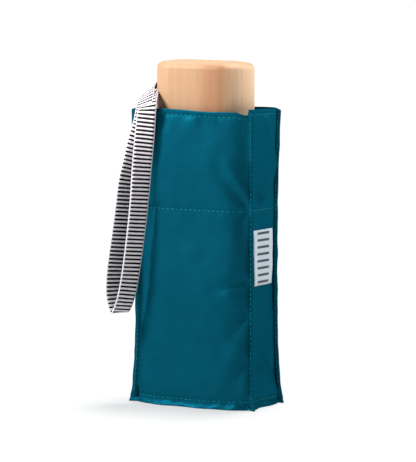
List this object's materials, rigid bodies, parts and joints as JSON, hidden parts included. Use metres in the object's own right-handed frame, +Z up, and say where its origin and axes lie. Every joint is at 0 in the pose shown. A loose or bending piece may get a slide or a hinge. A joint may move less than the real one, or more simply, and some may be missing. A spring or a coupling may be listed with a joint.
{
  "type": "folding pocket umbrella in its sleeve",
  "caption": "Compact multi-fold umbrella with a flat wooden handle and ribbon wrist strap, standing handle up in a sewn rectangular fabric sleeve.",
  "frame": {"origin": "centre of the sleeve's base, on the surface it stands on", "axes": "+Z up towards the handle, -Y out of the sleeve's front panel, +X out of the gusset that carries the label"},
  "size_m": [0.0752, 0.0424, 0.174],
  "materials": {
    "sleeve_taffeta": "shiny woven taffeta",
    "canopy_cloth": "woven polyester",
    "label_weave": "woven satin label",
    "striped_ribbon": "cross-striped black and white ribbon",
    "beech": "clear satin varnish",
    "tube_aluminium": "satin",
    "rib_steel": "black enamel",
    "black_plastic": "moulded",
    "pin_steel": "bright"
  },
  "bodies": {
    "sleeve": {"sleeve_front": "sleeve_taffeta", "sleeve_back": "sleeve_taffeta", "sleeve_left_gusset": "sleeve_taffeta", "sleeve_right_gusset": "sleeve_taffeta", "sleeve_base": "sleeve_taffeta", "sleeve_label": "label_weave"},
    "canopy_end": {"ferrule": "black_plastic", "crown": "black_plastic", "shaft_tube_1": "tube_aluminium", "tube_collar_1": "black_plastic", "canopy": "canopy_cloth", "canopy_tie": "canopy_cloth"},
    "tube_2": {"shaft_tube_2": "tube_aluminium", "tube_collar_2": "black_plastic"},
    "tube_3": {"shaft_tube_3": "tube_aluminium", "tube_collar_3": "black_plastic"},
    "tube_4": {"shaft_tube_4": "tube_aluminium", "tube_collar_4": "black_plastic"},
    "handle": {"handle": "beech", "handle_socket": "black_plastic", "shaft_tube_5": "tube_aluminium", "strap_pin": "pin_steel", "wrist_strap": "striped_ribbon"},
    "runner": {"runner": "black_plastic"},
    "rib_1_a": {"rib_1_a": "rib_steel"},
    "rib_1_b": {"rib_1_b": "rib_steel"},
    "rib_1_c": {"rib_1_c": "rib_steel"},
    "rib_1_d": {"rib_1_d": "rib_steel", "rib_1_tip": "black_plastic"},
    "rib_1_stretcher": {"rib_1_stretcher": "rib_steel"},
    "rib_2_a": {"rib_2_a": "rib_steel"},
    "rib_2_b": {"rib_2_b": "rib_steel"},
    "rib_2_c": {"rib_2_c": "rib_steel"},
    "rib_2_d": {"rib_2_d": "rib_steel", "rib_2_tip": "black_plastic"},
    "rib_2_stretcher": {"rib_2_stretcher": "rib_steel"},
    "rib_3_a": {"rib_3_a": "rib_steel"},
    "rib_3_b": {"rib_3_b": "rib_steel"},
    "rib_3_c": {"rib_3_c": "rib_steel"},
    "rib_3_d": {"rib_3_d": "rib_steel", "rib_3_tip": "black_plastic"},
    "rib_3_stretcher": {"rib_3_stretcher": "rib_steel"},
    "rib_4_a": {"rib_4_a": "rib_steel"},
    "rib_4_b": {"rib_4_b": "rib_steel"},
    "rib_4_c": {"rib_4_c": "rib_steel"},
    "rib_4_d": {"rib_4_d": "rib_steel", "rib_4_tip": "black_plastic"},
    "rib_4_stretcher": {"rib_4_stretcher": "rib_steel"},
    "rib_5_a": {"rib_5_a": "rib_steel"},
    "rib_5_b": {"rib_5_b": "rib_steel"},
    "rib_5_c": {"rib_5_c": "rib_steel"},
    "rib_5_d": {"rib_5_d": "rib_steel", "rib_5_tip": "black_plastic"},
    "rib_5_stretcher": {"rib_5_stretcher": "rib_steel"},
    "rib_6_a": {"rib_6_a": "rib_steel"},
    "rib_6_b": {"rib_6_b": "rib_steel"},
    "rib_6_c": {"rib_6_c": "rib_steel"},
    "rib_6_d": {"rib_6_d": "rib_steel", "rib_6_tip": "black_plastic"},
    "rib_6_stretcher": {"rib_6_stretcher": "rib_steel"}
  },
  "joints": [
    {"name": "umbrella_lift", "type": "slide", "parent": "sleeve", "child": "canopy_end", "axis": [0, 0, 1], "range_m": [0, 0.16]},
    {"name": "shaft_extend", "type": "slide", "parent": "canopy_end", "child": "tube_2", "axis": [0, 0, 1], "range_m": [0, 0.095]},
    {"name": "tube_3_slide", "type": "slide", "parent": "tube_2", "child": "tube_3", "axis": [0, 0, 1], "range_m": [0, 0.0951]},
    {"name": "tube_4_slide", "type": "slide", "parent": "tube_3", "child": "tube_4", "axis": [0, 0, 1], "range_m": [0, 0.0951]},
    {"name": "handle_slide", "type": "slide", "parent": "tube_4", "child": "handle", "axis": [0, 0, 1], "range_m": [0, 0.0951]},
    {"name": "rib_1_open", "type": "hinge", "parent": "canopy_end", "child": "rib_1_a", "pos_m": [0.0145, 0, 0.016], "axis": [0, 1, 0], "range_deg": [0, 80], "deforming": ["sleeve_front", "sleeve_back", "sleeve_left_gusset", "sleeve_right_gusset", "sleeve_label", "canopy", "canopy_tie"]},
    {"name": "rib_1_knee_1", "type": "hinge", "parent": "rib_1_a", "child": "rib_1_b", "pos_m": [0.0145, 0, 0.131], "axis": [0, 1, 0], "range_deg": [-190.2, 0.2]},
    {"name": "rib_1_knee_2", "type": "hinge", "parent": "rib_1_b", "child": "rib_1_c", "pos_m": [0.0145, 0, 0.022], "axis": [0, 1, 0], "range_deg": [-0.2, 170.2]},
    {"name": "rib_1_knee_3", "type": "hinge", "parent": "rib_1_c", "child": "rib_1_d", "pos_m": [0.0145, 0, 0.131], "axis": [0, 1, 0], "range_deg": [-190.2, 0.2]},
    {"name": "rib_1_stretcher_pivot", "type": "hinge", "parent": "rib_1_a", "child": "rib_1_stretcher", "pos_m": [0.0145, 0, 0.068], "axis": [0, 1, 0], "range_deg": [-160.2, 0.2]},
    {"name": "rib_2_open", "type": "hinge", "parent": "canopy_end", "child": "rib_2_a", "pos_m": [0.007, 0.0105, 0.016], "axis": [-0.866, 0.5, 0], "range_deg": [-0.1, 80.1]},
    {"name": "rib_2_knee_1", "type": "hinge", "parent": "rib_2_a", "child": "rib_2_b", "pos_m": [0.007, 0.0105, 0.131], "axis": [-0.866, 0.5, 0], "range_deg": [-190.2, 0.2]},
    {"name": "rib_2_knee_2", "type": "hinge", "parent": "rib_2_b", "child": "rib_2_c", "pos_m": [0.007, 0.0105, 0.022], "axis": [-0.866, 0.5, 0], "range_deg": [-0.2, 170.2]},
    {"name": "rib_2_knee_3", "type": "hinge", "parent": "rib_2_c", "child": "rib_2_d", "pos_m": [0.007, 0.0105, 0.131], "axis": [-0.866, 0.5, 0], "range_deg": [-190.2, 0.2]},
    {"name": "rib_2_stretcher_pivot", "type": "hinge", "parent": "rib_2_a", "child": "rib_2_stretcher", "pos_m": [0.007, 0.0105, 0.068], "axis": [-0.866, 0.5, 0], "range_deg": [-160.2, 0.2]},
    {"name": "rib_3_open", "type": "hinge", "parent": "canopy_end", "child": "rib_3_a", "pos_m": [-0.007, 0.0105, 0.016], "axis": [-0.866, -0.5, 0], "range_deg": [-0.1, 80.1]},
    {"name": "rib_3_knee_1", "type": "hinge", "parent": "rib_3_a", "child": "rib_3_b", "pos_m": [-0.007, 0.0105, 0.131], "axis": [-0.866, -0.5, 0], "range_deg": [-190.2, 0.2]},
    {"name": "rib_3_knee_2", "type": "hinge", "parent": "rib_3_b", "child": "rib_3_c", "pos_m": [-0.007, 0.0105, 0.022], "axis": [-0.866, -0.5, 0], "range_deg": [-0.2, 170.2]},
    {"name": "rib_3_knee_3", "type": "hinge", "parent": "rib_3_c", "child": "rib_3_d", "pos_m": [-0.007, 0.0105, 0.131], "axis": [-0.866, -0.5, 0], "range_deg": [-190.2, 0.2]},
    {"name": "rib_3_stretcher_pivot", "type": "hinge", "parent": "rib_3_a", "child": "rib_3_stretcher", "pos_m": [-0.007, 0.0105, 0.068], "axis": [-0.866, -0.5, 0], "range_deg": [-160.2, 0.2]},
    {"name": "rib_4_open", "type": "hinge", "parent": "canopy_end", "child": "rib_4_a", "pos_m": [-0.0145, 0, 0.016], "axis": [0, -1, 0], "range_deg": [-0.1, 80.1]},
    {"name": "rib_4_knee_1", "type": "hinge", "parent": "rib_4_a", "child": "rib_4_b", "pos_m": [-0.0145, 0, 0.131], "axis": [0, -1, 0], "range_deg": [-190.2, 0.2]},
    {"name": "rib_4_knee_2", "type": "hinge", "parent": "rib_4_b", "child": "rib_4_c", "pos_m": [-0.0145, 0, 0.022], "axis": [0, -1, 0], "range_deg": [-0.2, 170.2]},
    {"name": "rib_4_knee_3", "type": "hinge", "parent": "rib_4_c", "child": "rib_4_d", "pos_m": [-0.0145, 0, 0.131], "axis": [0, -1, 0], "range_deg": [-190.2, 0.2]},
    {"name": "rib_4_stretcher_pivot", "type": "hinge", "parent": "rib_4_a", "child": "rib_4_stretcher", "pos_m": [-0.0145, 0, 0.068], "axis": [0, -1, 0], "range_deg": [-160.2, 0.2]},
    {"name": "rib_5_open", "type": "hinge", "parent": "canopy_end", "child": "rib_5_a", "pos_m": [-0.007, -0.0105, 0.016], "axis": [0.866, -0.5, 0], "range_deg": [-0.1, 80.1]},
    {"name": "rib_5_knee_1", "type": "hinge", "parent": "rib_5_a", "child": "rib_5_b", "pos_m": [-0.007, -0.0105, 0.131], "axis": [0.866, -0.5, 0], "range_deg": [-190.2, 0.2]},
    {"name": "rib_5_knee_2", "type": "hinge", "parent": "rib_5_b", "child": "rib_5_c", "pos_m": [-0.007, -0.0105, 0.022], "axis": [0.866, -0.5, 0], "range_deg": [-0.2, 170.2]},
    {"name": "rib_5_knee_3", "type": "hinge", "parent": "rib_5_c", "child": "rib_5_d", "pos_m": [-0.007, -0.0105, 0.131], "axis": [0.866, -0.5, 0], "range_deg": [-190.2, 0.2]},
    {"name": "rib_5_stretcher_pivot", "type": "hinge", "parent": "rib_5_a", "child": "rib_5_stretcher", "pos_m": [-0.007, -0.0105, 0.068], "axis": [0.866, -0.5, 0], "range_deg": [-160.2, 0.2]},
    {"name": "rib_6_open", "type": "hinge", "parent": "canopy_end", "child": "rib_6_a", "pos_m": [0.007, -0.0105, 0.016], "axis": [0.866, 0.5, 0], "range_deg": [-0.1, 80.1]},
    {"name": "rib_6_knee_1", "type": "hinge", "parent": "rib_6_a", "child": "rib_6_b", "pos_m": [0.007, -0.0105, 0.131], "axis": [0.866, 0.5, 0], "range_deg": [-190.2, 0.2]},
    {"name": "rib_6_knee_2", "type": "hinge", "parent": "rib_6_b", "child": "rib_6_c", "pos_m": [0.007, -0.0105, 0.022], "axis": [0.866, 0.5, 0], "range_deg": [-0.2, 170.2]},
    {"name": "rib_6_knee_3", "type": "hinge", "parent": "rib_6_c", "child": "rib_6_d", "pos_m": [0.007, -0.0105, 0.131], "axis": [0.866, 0.5, 0], "range_deg": [-190.2, 0.2]},
    {"name": "rib_6_stretcher_pivot", "type": "hinge", "parent": "rib_6_a", "child": "rib_6_stretcher", "pos_m": [0.007, -0.0105, 0.068], "axis": [0.866, 0.5, 0], "range_deg": [-160.2, 0.2]},
    {"name": "runner_slide", "type": "slide", "parent": "canopy_end", "child": "runner", "axis": [0, 0, -1], "range_m": [-0.0002, 0.08624]}
  ],
  "couplings": [
    {"joint": "tube_3_slide", "follows": "shaft_extend", "ratio": 1},
    {"joint": "tube_4_slide", "follows": "shaft_extend", "ratio": 1},
    {"joint": "handle_slide", "follows": "shaft_extend", "ratio": 1},
    {"joint": "rib_1_knee_1", "follows": "rib_1_open", "ratio": -2.375},
    {"joint": "rib_1_knee_2", "follows": "rib_1_open", "ratio": 2.125},
    {"joint": "rib_1_knee_3", "follows": "rib_1_open", "ratio": -2.375},
    {"joint": "rib_1_stretcher_pivot", "follows": "rib_1_open", "ratio": -2},
    {"joint": "rib_2_open", "follows": "rib_1_open", "ratio": 1},
    {"joint": "rib_2_knee_1", "follows": "rib_1_open", "ratio": -2.375},
    {"joint": "rib_2_knee_2", "follows": "rib_1_open", "ratio": 2.125},
    {"joint": "rib_2_knee_3", "follows": "rib_1_open", "ratio": -2.375},
    {"joint": "rib_2_stretcher_pivot", "follows": "rib_1_open", "ratio": -2},
    {"joint": "rib_3_open", "follows": "rib_1_open", "ratio": 1},
    {"joint": "rib_3_knee_1", "follows": "rib_1_open", "ratio": -2.375},
    {"joint": "rib_3_knee_2", "follows": "rib_1_open", "ratio": 2.125},
    {"joint": "rib_3_knee_3", "follows": "rib_1_open", "ratio": -2.375},
    {"joint": "rib_3_stretcher_pivot", "follows": "rib_1_open", "ratio": -2},
    {"joint": "rib_4_open", "follows": "rib_1_open", "ratio": 1},
    {"joint": "rib_4_knee_1", "follows": "rib_1_open", "ratio": -2.375},
    {"joint": "rib_4_knee_2", "follows": "rib_1_open", "ratio": 2.125},
    {"joint": "rib_4_knee_3", "follows": "rib_1_open", "ratio": -2.375},
    {"joint": "rib_4_stretcher_pivot", "follows": "rib_1_open", "ratio": -2},
    {"joint": "rib_5_open", "follows": "rib_1_open", "ratio": 1},
    {"joint": "rib_5_knee_1", "follows": "rib_1_open", "ratio": -2.375},
    {"joint": "rib_5_knee_2", "follows": "rib_1_open", "ratio": 2.125},
    {"joint": "rib_5_knee_3", "follows": "rib_1_open", "ratio": -2.375},
    {"joint": "rib_5_stretcher_pivot", "follows": "rib_1_open", "ratio": -2},
    {"joint": "rib_6_open", "follows": "rib_1_open", "ratio": 1},
    {"joint": "rib_6_knee_1", "follows": "rib_1_open", "ratio": -2.375},
    {"joint": "rib_6_knee_2", "follows": "rib_1_open", "ratio": 2.125},
    {"joint": "rib_6_knee_3", "follows": "rib_1_open", "ratio": -2.375},
    {"joint": "rib_6_stretcher_pivot", "follows": "rib_1_open", "ratio": -2},
    {"joint": "runner_slide", "follows": "rib_1_open", "m_per_rad": 0.06155}
  ]
}
